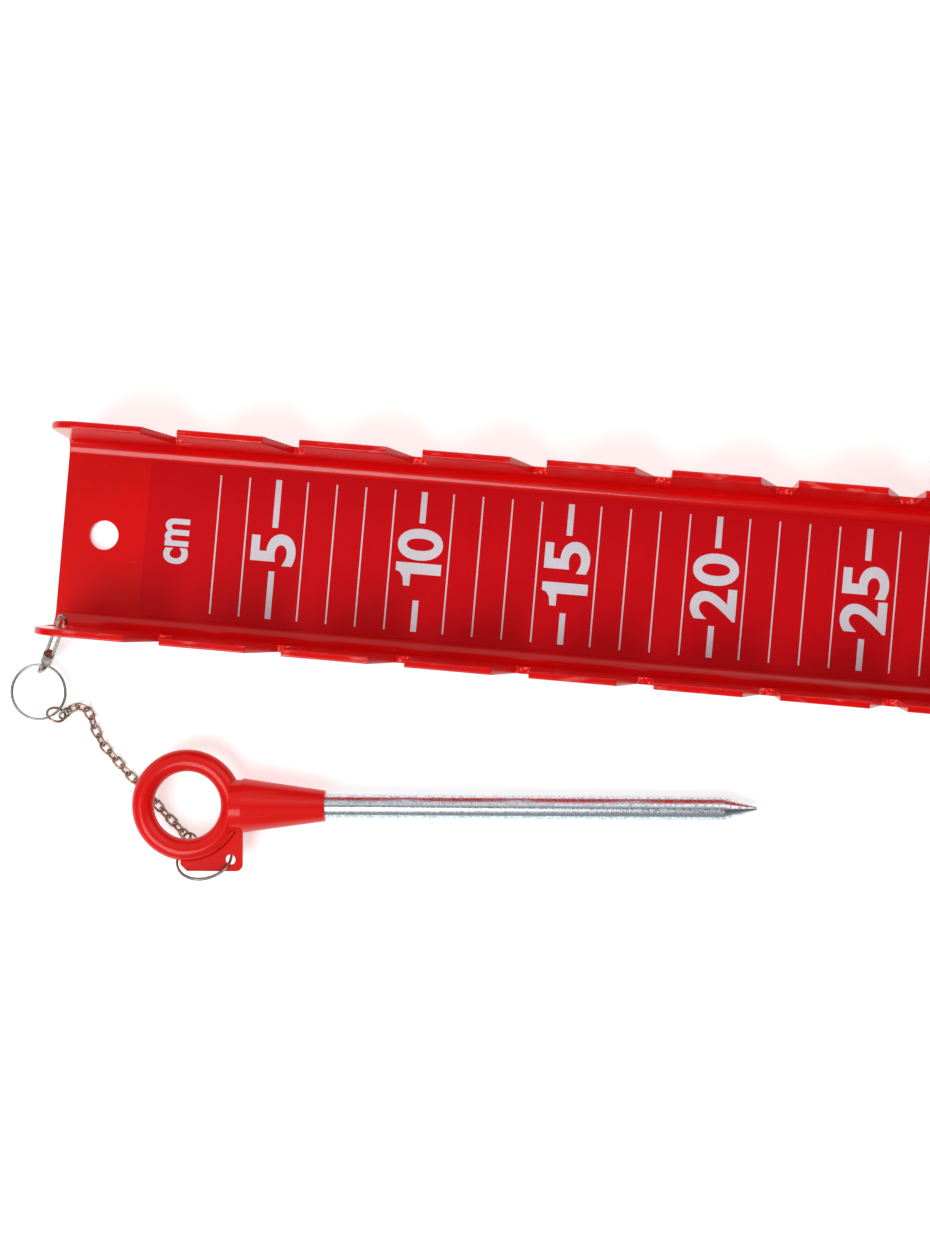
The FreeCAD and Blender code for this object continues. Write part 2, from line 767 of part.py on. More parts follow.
def arc_about(middle, start, stop):
    """Anticlockwise arc about a point, seen from -Y."""
    first = math.atan2(start.z - middle.z, start.x - middle.x)
    last = math.atan2(stop.z - middle.z, stop.x - middle.x)
    if last <= first:
        last += 2 * math.pi
    halfway = (first + last) / 2
    radius = (start - middle).Length
    crown = middle + Vector(radius * math.cos(halfway), 0, radius * math.sin(halfway))
    return Part.Arc(start, crown, stop).toShape()


def slot_through(radius, half_width, low, high, depth):
    """Curved slot about the origin between two angles in degrees, along Y."""
    outer = Part.makeCylinder(radius + half_width, depth, Vector(0, -depth / 2, 0), Y_AXIS)
    inner = Part.makeCylinder(radius - half_width, depth, Vector(0, -depth / 2, 0), Y_AXIS)
    reach = 2 * radius
    corners = [Vector(0, -depth / 2, 0)]
    for step in range(5):
        angle = math.radians(low + (high - low) * step / 4)
        corners.append(Vector(reach * math.cos(angle), -depth / 2, reach * math.sin(angle)))
    wedge = Part.Face(Part.makePolygon(corners + corners[:1])).extrude(Vector(0, depth, 0))
    slot = outer.cut(inner).common(wedge)
    for angle in (low, high):
        turn = math.radians(angle)
        base = Vector(radius * math.cos(turn), -depth / 2, radius * math.sin(turn))
        slot = slot.fuse(Part.makeCylinder(half_width, depth, base, Y_AXIS))
    return slot.removeSplitter()


def make_block(hand, side):
    bar_x = f"(notch_first - rail_length / 2 + notch_pitch * {hand}_notch)"
    rear_x = f"({bar_x} + notch_pitch * bar_notches)"
    hinge_x = f"({bar_x} - hinge_inset)"
    centre = f"({side} * pedal_centre)"
    make_carrier(hand, side, bar_x, rear_x)
    make_brackets(hand, hinge_x, centre)
    make_hinge(hand, hinge_x, centre)
    make_clamp(hand, side, hinge_x, centre)
    make_pedal(hand, side, hinge_x, centre)


def make_carrier(hand, side, bar_x, rear_x):
    """Saddle, locking bars and rubber foot."""
    front = f"({bar_x} - saddle_front)"
    length = "(saddle_front + notch_pitch * bar_notches + saddle_rear)"
    skirt_height = f"({DECK} - saddle_skirt_height)"
    skirt = f"({SKIRT_IN} + saddle_sheet / 2)"
    deck = middle_box(f"Deck_{hand}", length, f"2 * {SKIRT_OUT}", "saddle_sheet", front, "0", DECK)
    skirts = [
        middle_box(f"Skirt{word}_{hand}", length, "saddle_sheet", f"{skirt_height} + saddle_sheet / 2",
                   front, f"{sign} * {skirt}", "saddle_skirt_height")
        for word, sign in (("In", side), ("Out", -side))
    ]
    wing_length = "(wing_front + wing_rear)"
    wing_x = f"({bar_x} - wing_front)"
    wing = middle_box(f"Wing_{hand}", wing_length, "wing_reach - rail_top_width / 2", "saddle_sheet",
                      wing_x, f"{side} * (wing_reach + rail_top_width / 2) / 2", DECK)
    flange = middle_box(f"WingFlange_{hand}", wing_length, "saddle_sheet",
                        f"{DECK_TOP} - foot_thickness + foot_seat",
                        wing_x, f"{side} * (wing_reach - saddle_sheet / 2)",
                        "foot_thickness - foot_seat")
    shell = fuse(f"CarrierShell_{hand}", [deck, wing, flange] + skirts)
    doc.recompute()
    top = evaluate(DECK_TOP)
    reach = size("wing_reach")
    folded = doc.addObject("Part::Fillet", f"CarrierFold_{hand}")
    folded.Base = shell
    fold = size("saddle_sheet")
    picked = []
    for index, edge in enumerate(shell.Shape.Edges, start=1):
        a, b = edge.Vertexes[0].Point, edge.Vertexes[-1].Point
        along = near(a.y, b.y) and near(a.z, b.z) and near(a.z, top)
        if along and (near(abs(a.y), reach) or near(a.y, -side * evaluate(SKIRT_OUT))):
            picked.append((index, fold, fold))
    folded.Edges = picked
    bars = [
        middle_box(f"BarSlot{word}_{hand}", "bar_thickness", f"2 * {SKIRT_OUT} + saddle_sheet",
                   "bar_height", f"{x} - bar_play - bar_thickness", "0",
                   "notch_floor_height + bar_play")
        for word, x in (("Front", bar_x), ("Rear", rear_x))
    ]
    saddle = cut(f"Carrier_{hand}", folded, fuse(f"BarSlots_{hand}", bars))
    keep(f"{hand}_saddle", saddle)
    for word, x in (("front", bar_x), ("rear", rear_x)):
        bar = middle_box(f"Bar_{word}_{hand}", "bar_thickness", f"2 * {SKIRT_OUT}", "bar_height",
                         f"{x} - bar_play - bar_thickness", "0", "notch_floor_height + bar_play")
        keep(f"{hand}_{word}_locking_bar", bar)
    block = middle_box(f"FootBlock_{hand}", wing_length, "foot_width", "foot_thickness", wing_x,
                       f"{side} * (wing_reach - saddle_sheet / 2)", "0")
    doc.recompute()
    eased = doc.addObject("Part::Fillet", f"FootEased_{hand}")
    eased.Base = block
    eased.Edges = [
        (index, size("foot_edge_radius"), size("foot_edge_radius"))
        for index, edge in enumerate(block.Shape.Edges, start=1)
        if near(edge.Vertexes[0].Point.x, edge.Vertexes[-1].Point.x)
        and near(edge.Vertexes[0].Point.y, edge.Vertexes[-1].Point.y)
    ]
    groove = middle_box(f"FootGroove_{hand}", wing_length, "saddle_sheet", "foot_thickness", wing_x,
                        f"{side} * (wing_reach - saddle_sheet / 2)", "foot_thickness - foot_seat")
    keep(f"{hand}_rubber_foot", cut(f"Foot_{hand}", eased, groove))


def make_brackets(hand, hinge_x, centre):
    """Two upright plates welded to the wing. They hold the hinge rod and the clamp rod."""
    deck_top = evaluate(DECK_TOP)
    x = evaluate(hinge_x)
    z = evaluate(HINGE_Z)
    angle = math.radians(size("clamp_angle"))
    clamp_x = x + size("clamp_radius") * math.cos(angle)
    clamp_z = z + size("clamp_radius") * math.sin(angle)
    ear = size("bracket_ear_radius")
    corners = [
        (x - ear, deck_top, 0),
        (clamp_x + size("bracket_heel"), deck_top, 0),
        (clamp_x, clamp_z, ear),
        (x, z, ear),
    ]
    holes = [
        (x, z, size("hinge_rod_diameter") / 2),
        (clamp_x, clamp_z, size("clamp_rod_diameter") / 2),
    ]
    offset = evaluate(BRACKET_OUT) - size("bracket_sheet") / 2
    for word, sign in (("inner", -1), ("outer", 1)):
        middle = evaluate(centre) + sign * math.copysign(offset, evaluate(centre))
        plate = plate_from(corners, size("bracket_sheet"), middle, holes)
        keep(f"{hand}_{word}_bracket", solid(f"Bracket_{word}_{hand}", plate))


def make_hinge(hand, hinge_x, centre):
    """The rod that the pedal tilts on, with a pressed cap on each end."""
    width = f"2 * ({FLANGE_OUT} + hinge_play_side + hinge_cap_thickness)"
    rod = cross_rod(f"HingeRod_{hand}", "hinge_rod_diameter / 2", width, hinge_x, centre, HINGE_Z)
    keep(f"{hand}_hinge_rod", rod)
    caps = []
    for word, sign in (("Inner", -1), ("Outer", 1)):
        middle = f"{centre} + {sign} * ({FLANGE_OUT} + hinge_play_side + hinge_cap_thickness / 2)"
        disc = cross_rod(f"CapDisc{word}_{hand}", "hinge_cap_diameter / 2", "hinge_cap_thickness",
                         hinge_x, middle, HINGE_Z)
        bore = cross_rod(f"CapBore{word}_{hand}", "hinge_rod_diameter / 2", "hinge_cap_thickness",
                         hinge_x, middle, HINGE_Z)
        caps.append(cut(f"Cap{word}_{hand}", disc, bore))
    pair = doc.addObject("Part::Compound", f"HingeCaps_{hand}")
    pair.Links = caps
    keep(f"{hand}_hinge_caps", pair)


def make_clamp(hand, side, hinge_x, centre):
    """Rod through both curved slots, with a flat head inside, a washer and a hand knob
    outside. Tightening the knob holds the pedal at its angle."""
    x = f"({hinge_x} + clamp_radius * cos(clamp_angle))"
    z = f"({HINGE_Z} + clamp_radius * sin(clamp_angle))"
    inside = f"({FLANGE_OUT} + clamp_side_play)"
    outside = f"({inside} + washer_thickness)"
    head = cross_rod(f"ClampHead_{hand}", "clamp_head_diameter / 2", "clamp_head_height", x,
                     f"{centre} - {side} * ({inside} + clamp_head_height / 2)", z)
    shank = cross_rod(f"ClampShank_{hand}", "clamp_rod_diameter / 2",
                      f"{inside} + {outside} + knob_length", x,
                      f"{centre} + {side} * ({outside} + knob_length - {inside}) / 2", z)
    keep(f"{hand}_clamp_bolt", fuse(f"ClampBolt_{hand}", [head, shank]))
    ring = cross_rod(f"WasherDisc_{hand}", "washer_diameter / 2", "washer_thickness", x,
                     f"{centre} + {side} * ({inside} + washer_thickness / 2)", z)
    hole = cross_rod(f"WasherHole_{hand}", "clamp_rod_diameter / 2", "washer_thickness", x,
                     f"{centre} + {side} * ({inside} + washer_thickness / 2)", z)
    keep(f"{hand}_clamp_washer", cut(f"Washer_{hand}", ring, hole))
    middle = f"{centre} + {side} * ({outside} + clamp_side_play + knob_length / 2)"
    lobes = [cross_rod(f"KnobHub_{hand}", "knob_hub_diameter / 2", "knob_length", x, middle, z)]
    for index in range(int(size("knob_lobes"))):
        turn = f"(360 * {index} / knob_lobes + 90)"
        lobes.append(cross_rod(f"KnobLobe{index}_{hand}", "knob_lobe_diameter / 2", "knob_length",
                               f"{x} + knob_lobe_reach * cos{turn}", middle,
                               f"{z} + knob_lobe_reach * sin{turn}"))
    bore = cross_rod(f"KnobBore_{hand}", "clamp_rod_diameter / 2 + hinge_play", "2 * knob_length",
                     x, middle, z)
    keep(f"{hand}_clamp_knob", cut(f"Knob_{hand}", fuse(f"KnobBlank_{hand}", lobes), bore))


def make_pedal(hand, side, hinge_x, centre):
    """Folded foot plate with slotted side flanges, its ribbed rubber pad and the rivets.
    All three are made lying along X about the hinge, then tilted together."""
    tilt = Rotation(Y_AXIS, -size("pedal_angle"))
    place = Placement(Vector(evaluate(hinge_x), evaluate(centre), evaluate(HINGE_Z)), tilt)
    width = size("pedal_width")
    sheet_wall = size("pedal_sheet")
    offset = size("pedal_web_offset")
    web = Part.makeBox(
        size("pedal_length") - size("pedal_start"), width, sheet_wall,
        Vector(size("pedal_start"), -width / 2, offset),
    )
    least = size("clamp_angle") - size("pedal_angle")
    most = least - size("pedal_angle_range")
    half_slot = size("clamp_rod_diameter") / 2 + size("clamp_slot_play")
    band = half_slot + size("quadrant_band")
    ear = size("pedal_ear_radius")
    tip = size("flange_tip_radius")
    reach = size("clamp_radius")
    turns = [math.radians(angle) for angle in (most, (most + least) / 2, least)]
    quadrant = [(0, 0, ear)] + [(reach * math.cos(t), reach * math.sin(t), band) for t in turns]
    strip = [
        (0, 0, ear),
        (size("pedal_length") - tip, 0, tip),
        (size("pedal_length"), offset + sheet_wall, 0),
        (0, offset + sheet_wall, 0),
    ]
    hinge_hole = (0, 0, size("hinge_rod_diameter") / 2 + size("hinge_play"))
    light_hole = (size("lightening_hole_place"), 0, size("lightening_hole_diameter") / 2)
    shape = web
    for sign in (-1, 1):
        middle = sign * (width - sheet_wall) / 2
        for corners in (strip, quadrant):
            shape = shape.fuse(plate_from(corners, sheet_wall, middle, [hinge_hole, light_hole]))
    slack = math.degrees(size("clamp_slot_play") / size("clamp_radius")) * 2
    slot = slot_through(size("clamp_radius"), half_slot, most - slack, least + slack, 2 * width)
    shape = shape.cut(slot)
    shank = size("rivet_diameter") / 2
    pad_top = offset + sheet_wall + size("pad_thickness")
    rivet_spots = [
        (size("pedal_start") + size("rivet_inset_u"), 1),
        (size("pedal_start") + size("rivet_inset_u"), -1),
        (size("pedal_length") - size("rivet_inset_u"), 1),
        (size("pedal_length") - size("rivet_inset_u"), -1),
    ]
    across = width / 2 - size("rivet_inset_y")
    drills = [
        Part.makeCylinder(shank, pad_top, Vector(u, sign * across, 0)) for u, sign in rivet_spots
    ]
    keep(f"{hand}_foot_plate", solid(f"FootPlate_{hand}", shape.cut(drills).removeSplitter()), place)
    margin = size("pad_margin")
    pad = Part.makeBox(
        size("pedal_length") - size("pedal_start") - margin, width - 2 * margin,
        size("pad_thickness"), Vector(size("pedal_start") + margin / 2, margin - width / 2,
                                      offset + sheet_wall),
    )
    upright = [edge for edge in pad.Edges if near(edge.Vertexes[0].X, edge.Vertexes[1].X)
               and near(edge.Vertexes[0].Y, edge.Vertexes[1].Y)]
    pad = pad.makeFillet(size("pad_corner_radius"), upright)
    pitch = size("pad_rib_pitch")
    groove_z = pad_top - size("pad_groove_depth")
    first = size("pedal_start") + margin / 2 + pitch - size("pad_groove_width") / 2
    count = int((pad.BoundBox.XMax - first - pitch / 2) / pitch) + 1
    for index in range(count):
        start = Vector(first + index * pitch, -width, groove_z)
        pad = pad.cut(Part.makeBox(size("pad_groove_width"), 2 * width, size("pad_thickness"), start))
    pockets = [
        Part.makeCylinder(size("rivet_head_diameter") / 2 + size("rivet_play"), pad_top,
                          Vector(u, sign * across, pad_top - size("rivet_pocket_depth")))
        for u, sign in rivet_spots
    ]
    keep(f"{hand}_rubber_pad", solid(f"Pad_{hand}", pad.cut(drills + pockets)), place)
    rivets = []
    for u, sign in rivet_spots:
        head = size("rivet_head_height")
        seat = pad_top - size("rivet_pocket_depth")
        stem = Part.makeCylinder(shank, seat - offset, Vector(u, sign * across, offset))
        back = Part.makeCylinder(size("rivet_head_diameter") / 2, head,
                                 Vector(u, sign * across, offset - head))
        front = Part.makeCylinder(size("rivet_head_diameter") / 2, head,
                                  Vector(u, sign * across, seat))
        rivets.append(back.multiFuse([stem, front]).removeSplitter())
    keep(f"{hand}_pad_rivets", solid(f"Rivets_{hand}", Part.makeCompound(rivets)), place)


make_block("left", 1)
make_block("right", -1)


# Every object has to be whole before any sub-part is written
doc.recompute()
for item in doc.Objects:
    if {"Invalid", "Error"} & set(item.State):
        raise RuntimeError(f"{item.Name} failed: {item.State}")
for node, item in PARTS.items():
    if item.Shape.isNull() or not item.Shape.isValid() or item.Shape.Volume <= 0:
        raise RuntimeError(f"{node} has no sound shape")

os.makedirs("parts", exist_ok=True)
for node, item in PARTS.items():
    item.Shape.exportStep(f"parts/{node}.step")
    print(f"{node}: {len(item.Shape.Solids)} solids, {item.Shape.Volume / 1000:.2f} cm3")
print(f"{len(PARTS)} sub-parts")
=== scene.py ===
import json
import math

import bmesh
import bpy
from mathutils import Matrix, Vector


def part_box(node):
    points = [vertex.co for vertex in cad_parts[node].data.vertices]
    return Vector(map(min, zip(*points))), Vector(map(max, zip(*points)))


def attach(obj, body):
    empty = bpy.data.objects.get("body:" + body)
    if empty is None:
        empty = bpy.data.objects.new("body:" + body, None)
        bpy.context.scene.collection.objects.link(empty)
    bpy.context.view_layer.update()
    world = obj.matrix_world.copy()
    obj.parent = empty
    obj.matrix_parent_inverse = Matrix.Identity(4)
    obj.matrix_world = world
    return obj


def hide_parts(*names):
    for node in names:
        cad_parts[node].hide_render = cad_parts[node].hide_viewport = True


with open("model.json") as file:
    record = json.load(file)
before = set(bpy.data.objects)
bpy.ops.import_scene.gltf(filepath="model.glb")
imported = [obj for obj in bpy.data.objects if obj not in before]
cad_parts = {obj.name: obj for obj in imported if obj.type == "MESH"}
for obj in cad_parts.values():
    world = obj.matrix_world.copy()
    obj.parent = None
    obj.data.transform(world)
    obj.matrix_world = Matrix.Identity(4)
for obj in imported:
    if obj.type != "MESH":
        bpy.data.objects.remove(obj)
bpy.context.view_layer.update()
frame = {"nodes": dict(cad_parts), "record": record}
nodes = frame["nodes"]


# Camera: the photograph looks almost straight down at the rail's front end, turned about
# five degrees, from 68 cm above the ground. Its picture is 1240 pixels tall.
SENSOR = 36
PICTURE_TALL = 1240
FOCAL_PIXELS = 2000
CAMERA_PLACE = (-0.1939, -0.0176, 0.6782)
CAMERA_TURNS = (("Z", 4.970), ("Y", 3.837), ("X", 0.056))
camera = bpy.data.objects.new("Camera", bpy.data.cameras.new("Camera"))
camera.data.sensor_width = SENSOR
camera.data.lens = FOCAL_PIXELS / PICTURE_TALL * SENSOR
camera.data.clip_start = 0.01
camera_turn = Matrix.Identity(3)
for axis, angle in CAMERA_TURNS:
    camera_turn = camera_turn @ Matrix.Rotation(math.radians(angle), 3, axis)
flip = Matrix(((1, 0, 0), (0, -1, 0), (0, 0, -1)))
facing = (flip @ camera_turn @ flip).transposed().to_4x4()
camera.matrix_world = Matrix.Translation(CAMERA_PLACE) @ facing
bpy.context.scene.collection.objects.link(camera)
bpy.context.scene.camera = camera


# The rail: a channel folded from 2.4 mm steel, its walls notched on a press, then powder
# coated in gloss red. The coat rounds every cut edge and has a faint orange peel and pale
# random wear. Painted highlights in the same pale red lie on the tops of the teeth and on
# the floors of the notches.
RAIL_RED = (0.70, 0.002, 0.002, 1)
RAIL_RED_DEEP = (0.62, 0.002, 0.003, 1)
# Pale red for the random wear, and for the painted highlights on the teeth tops and notch floors.
PALE_RED_WEAR_AND_HIGHLIGHT = (0.82, 0.20, 0.17, 1)
RAIL_GLOSS = 0.5
# Painted highlights: pale red above the teeth tops' height, and on the notch floors that face up.
TEETH_TOPS = 0.0392
TOP_HIGHLIGHT_FADE = 0.0008
NOTCH_FLOOR = 0.0175
NOTCH_HIGHLIGHT_REACH = 0.0014
RAIL_EDGE = 0.0006
SHARP_ANGLE = 38
FLAT_ANGLE = 0.6
SAME_PLACE = 2e-6


class Value:
    """One shader socket. Sums written with it add their Math nodes to the same tree."""

    def __init__(self, tree, socket):
        self.tree = tree
        self.socket = socket

    def math(self, operation, first, second):
        node = self.tree.nodes.new("ShaderNodeMath")
        node.operation = operation
        for slot, value in zip(node.inputs, (first, second)):
            if isinstance(value, Value):
                self.tree.links.new(value.socket, slot)
            else:
                slot.default_value = value
        return Value(self.tree, node.outputs[0])

    def __add__(self, other):
        return self.math("ADD", self, other)

    def __radd__(self, other):
        return self.math("ADD", other, self)

    def __sub__(self, other):
        return self.math("SUBTRACT", self, other)

    def __rsub__(self, other):
        return self.math("SUBTRACT", other, self)

    def __mul__(self, other):
        return self.math("MULTIPLY", self, other)

    def __rmul__(self, other):
        return self.math("MULTIPLY", other, self)


class Finish:
    """A material with one Principled shader. Constants go straight on the shader's sockets."""

    def __init__(self, name, **constants):
        self.material = bpy.data.materials.new(name)
        self.material.use_nodes = True
        self.tree = self.material.node_tree
        self.shader = self.tree.nodes["Principled BSDF"]
        for key, value in constants.items():
            self.socket(key).default_value = value
        coordinates = self.tree.nodes.new("ShaderNodeTexCoord")
        self.place = Value(self.tree, coordinates.outputs["Object"])

    def socket(self, key):
        """The shader's socket for a plain name such as base_color."""
        return self.shader.inputs[key.replace("_", " ").title().replace("Ior", "IOR")]

    def add(self, kind, inputs=None, output=0, **settings):
        """Any node: its type, what its inputs take, which output is wanted, its settings."""
        node = self.tree.nodes.new(kind)
        for key, value in settings.items():
            setattr(node, key, value)
        for key, value in (inputs or {}).items():
            if isinstance(value, Value):
                self.tree.links.new(value.socket, node.inputs[key])
            else:
                node.inputs[key].default_value = value
        return Value(self.tree, node.outputs[output])

    def noise(self, scale, detail, stretch=(1, 1, 1)):
        """Noise from 0 to 1 whose grain is about 1 / scale metres, stretched along axes."""
        spread = self.add("ShaderNodeMapping", {"Vector": self.place, "Scale": stretch})
        grain = {"Vector": spread, "Scale": scale, "Detail": detail}
        return self.add("ShaderNodeTexNoise", grain)

    def ramp(self, value, low, high):
        """0 below low and 1 above high, straight between."""
        span = {"Value": value, "From Min": low, "From Max": high, "To Min": 0.0, "To Max": 1.0}
        return self.add("ShaderNodeMapRange", span)

    def mix(self, mask, first, second):
        """The first colour where the mask is 0 and the second where it is 1."""
        colours = {0: mask, 6: first, 7: second}
        return self.add("ShaderNodeMix", colours, output=2, data_type="RGBA")

    def bump(self, height, depth, strength):
        """A relief of a depth in metres, from a height of 0 to 1."""
        relief = {"Height": height, "Distance": depth, "Strength": strength}
        return self.add("ShaderNodeBump", relief)

    def set(self, **links):
        """What changes over the surface, linked to the shader. Gives the finished material."""
        for key, value in links.items():
            self.tree.links.new(value.socket, self.socket(key))
        return self.material


def powder_coat(name, colour, shade, gloss, highlight_height=None):
    """Gloss red powder coat with pale random wear. Above a height and on the notches'
    upward-facing floors it has painted highlights.
    """
    coat = Finish(name, coat_weight=gloss, coat_roughness=0.12, specular_ior_level=0.10)
    clouds = coat.noise(35, 3)
    grain = coat.noise(2600, 2)
    base = coat.mix(coat.ramp(clouds, 0.35, 0.65), colour, shade)
    wear_and_highlight = coat.ramp(coat.noise(900, 4), 0.70, 0.78) * 0.35
    # Painted highlights on the teeth tops and on the upward-facing floors of the notches, broken
    # up by noise.
    if highlight_height is not None:
        height = coat.add("ShaderNodeSeparateXYZ", {"Vector": coat.place}, output="Z")
        painted_top_highlight = coat.ramp(height, highlight_height, highlight_height + TOP_HIGHLIGHT_FADE)
        top_highlight_breakup = coat.ramp(coat.noise(420, 5, (0.25, 1, 1)), 0.56, 0.68)
        normal = coat.add("ShaderNodeNewGeometry", output="Normal")
        upward = coat.add("ShaderNodeSeparateXYZ", {"Vector": normal}, output="Z")
        off_floor = height - NOTCH_FLOOR
        near_floor = 1 - coat.ramp(off_floor * off_floor, 0.0, NOTCH_HIGHLIGHT_REACH ** 2)
        painted_floor_highlight = near_floor * coat.ramp(upward, 0.3, 0.7)
        floor_highlight_specks = coat.ramp(coat.noise(1100, 4), 0.52, 0.60)
        # Random wear plus the painted highlights, all mixed towards the pale red.
        wear_and_highlight = wear_and_highlight + painted_top_highlight * top_highlight_breakup * 0.5 + painted_floor_highlight * floor_highlight_specks * 0.6
    peel = coat.noise(620, 2)
    return coat.set(
        base_color=coat.mix(wear_and_highlight, base, PALE_RED_WEAR_AND_HIGHLIGHT),
        roughness=(0.40 - 0.3 * gloss) + 0.10 * clouds + 0.05 * grain + 0.3 * wear_and_highlight,
        normal=coat.bump(peel, depth=0.00005, strength=0.5),
    )


def adopt(mesh, name, body, material, node=None):
    """A finished mesh becomes a piece that rides on a body, in a node's place if one is named."""
    mesh.materials.clear()
    mesh.materials.append(material)
    piece = bpy.data.objects.new(name, mesh)
    bpy.context.scene.collection.objects.link(piece)
    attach(piece, body)
    if node:
        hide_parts(node)


def merged_copy(node):
    """The node's own triangles joined up, with flat faces made whole again."""
    shape = bmesh.new()
    shape.from_mesh(nodes[node].data)
    bmesh.ops.remove_doubles(shape, verts=shape.verts, dist=SAME_PLACE)
    bmesh.ops.dissolve_limit(
        shape, angle_limit=math.radians(FLAT_ANGLE), verts=shape.verts, edges=shape.edges
    )
    return shape


def plain_mesh(shape, name, modifiers):
    """The mesh that the modifiers give, with no modifier left on it."""
    mesh = bpy.data.meshes.new(name)
    for face in shape.faces:
        face.smooth = True
    shape.to_mesh(mesh)
    shape.free()
    holder = bpy.data.objects.new(name + "_work", mesh)
    bpy.context.scene.collection.objects.link(holder)
    for kind, settings in modifiers:
        modifier = holder.modifiers.new(kind.lower(), kind)
        for key, value in settings.items():
            setattr(modifier, key, value)
    graph = bpy.context.evaluated_depsgraph_get()
    result = bpy.data.meshes.new_from_object(holder.evaluated_get(graph))
    bpy.data.objects.remove(holder)
    bpy.data.meshes.remove(mesh)
    result.name = name
    return result


body_of = {
    node: body
    for body, members in frame["record"]["behaviour"]["bodies"].items()
    for node in members
}


def eased(node, material, width, segments=2):
    """The node with its sharp edges rounded, standing in the node's place."""
    bevel = {
        "width": width,
        "segments": segments,
        "limit_method": "ANGLE",
        "angle_limit": math.radians(SHARP_ANGLE),
        "use_clamp_overlap": True,
    }
    flats = {"keep_sharp": False, "weight": 100}
    steps = [("BEVEL", bevel), ("WEIGHTED_NORMAL", flats)]
    mesh = plain_mesh(merged_copy(node), node + "_eased", steps)
    adopt(mesh, node + "_eased", body_of[node], material, node)


# The rail's coat carries painted highlights above the teeth tops' height and on the notch floors.
rail_coat = powder_coat(
    "rail_red_powder_coat", RAIL_RED, RAIL_RED_DEEP, RAIL_GLOSS, highlight_height=TEETH_TOPS
)
eased("rail_channel", rail_coat, RAIL_EDGE)


# The scale: a red vinyl strip stuck on the rail's floor after painting, slightly darker and
# cooler than the coat, and printed in silver grey. A line stands for each centimetre and a
# number between two dashes for each five. The words run across the rail.
VINYL_RED = (0.56, 0.002, 0.006, 1)
VINYL_RED_PALE = (0.62, 0.003, 0.008, 1)
INK_GREY = (0.66, 0.70, 0.76, 1)
INK_GREY_THIN = (0.55, 0.57, 0.62, 1)
FRONT_END = -0.380
SCALE_ZERO = 0.0235
CENTIMETRE = 0.01
FIRST_LINES = (3, 2)
NUMBERED = range(5, 70, 5)
LINES_BETWEEN = 4
PRINT_HEIGHT = 0.00262
PRINT_THICKNESS = 0.00004
PRINT_SPAN = 0.0475
LINE_WIDE = 0.0005
DASH_WIDE = 0.002
DASH_BESIDE_ONE_DIGIT = 0.0163
DASH_BESIDE_TWO_DIGITS = 0.0106
LETTER_WEIGHT = 0.026
DIGIT_TALL = 0.0154
DIGIT_WIDE = 0.0108
DIGIT_PITCH = 0.0117
ONE_WIDE = 0.0079
ONE_SHIFT = {10: 0.5, 15: -0.35}
UNIT_MARK = 1.65
UNIT_TALL = 0.0085
UNIT_WIDE = 0.0155


def finished(node, material):
    """A CAD node keeps its mesh and takes a better finish."""
    mesh = nodes[node].data
    mesh.materials.clear()
    mesh.materials.append(material)


vinyl = Finish("scale_vinyl", coat_weight=0.45, coat_roughness=0.1, specular_ior_level=0.1)
finished("scale_label", vinyl.set(
    base_color=vinyl.mix(vinyl.noise(50, 3), VINYL_RED, VINYL_RED_PALE),
    roughness=0.20 + 0.10 * vinyl.noise(700, 3),
    normal=vinyl.bump(vinyl.noise(240, 2), depth=0.00004, strength=0.6),
))
ink = Finish("scale_print", coat_weight=0.3)
print_ink = ink.set(
    base_color=ink.mix(ink.ramp(ink.noise(1500, 4), 0.55, 0.75), INK_GREY, INK_GREY_THIN),
    roughness=0.32 + 0.15 * ink.noise(900, 2),
)


def node_tree_of(name, inputs):
    """An empty Geometry Nodes tree with one geometry output and named inputs."""
    tree = bpy.data.node_groups.new(name, "GeometryNodeTree")
    tree.interface.new_socket("Geometry", in_out="OUTPUT", socket_type="NodeSocketGeometry")
    for key, kind in inputs.items():
        tree.interface.new_socket(key, in_out="INPUT", socket_type=kind)
    return tree, tree.nodes.new("NodeGroupInput"), tree.nodes.new("NodeGroupOutput")


def grown(name, tree, values):
    """The plain mesh that a Geometry Nodes tree makes with these values for its inputs."""
    holder = bpy.data.objects.new(name + "_work", bpy.data.meshes.new(name + "_seed"))
    bpy.context.scene.collection.objects.link(holder)
    modifier = holder.modifiers.new("grow", "NODES")
    modifier.node_group = tree
    for socket in tree.interface.items_tree:
        if socket.in_out == "INPUT" and socket.name in values:
            modifier[socket.identifier] = values[socket.name]
    graph = bpy.context.evaluated_depsgraph_get()
    mesh = bpy.data.meshes.new_from_object(holder.evaluated_get(graph))
    bpy.data.objects.remove(holder)
    mesh.name = name
    return mesh


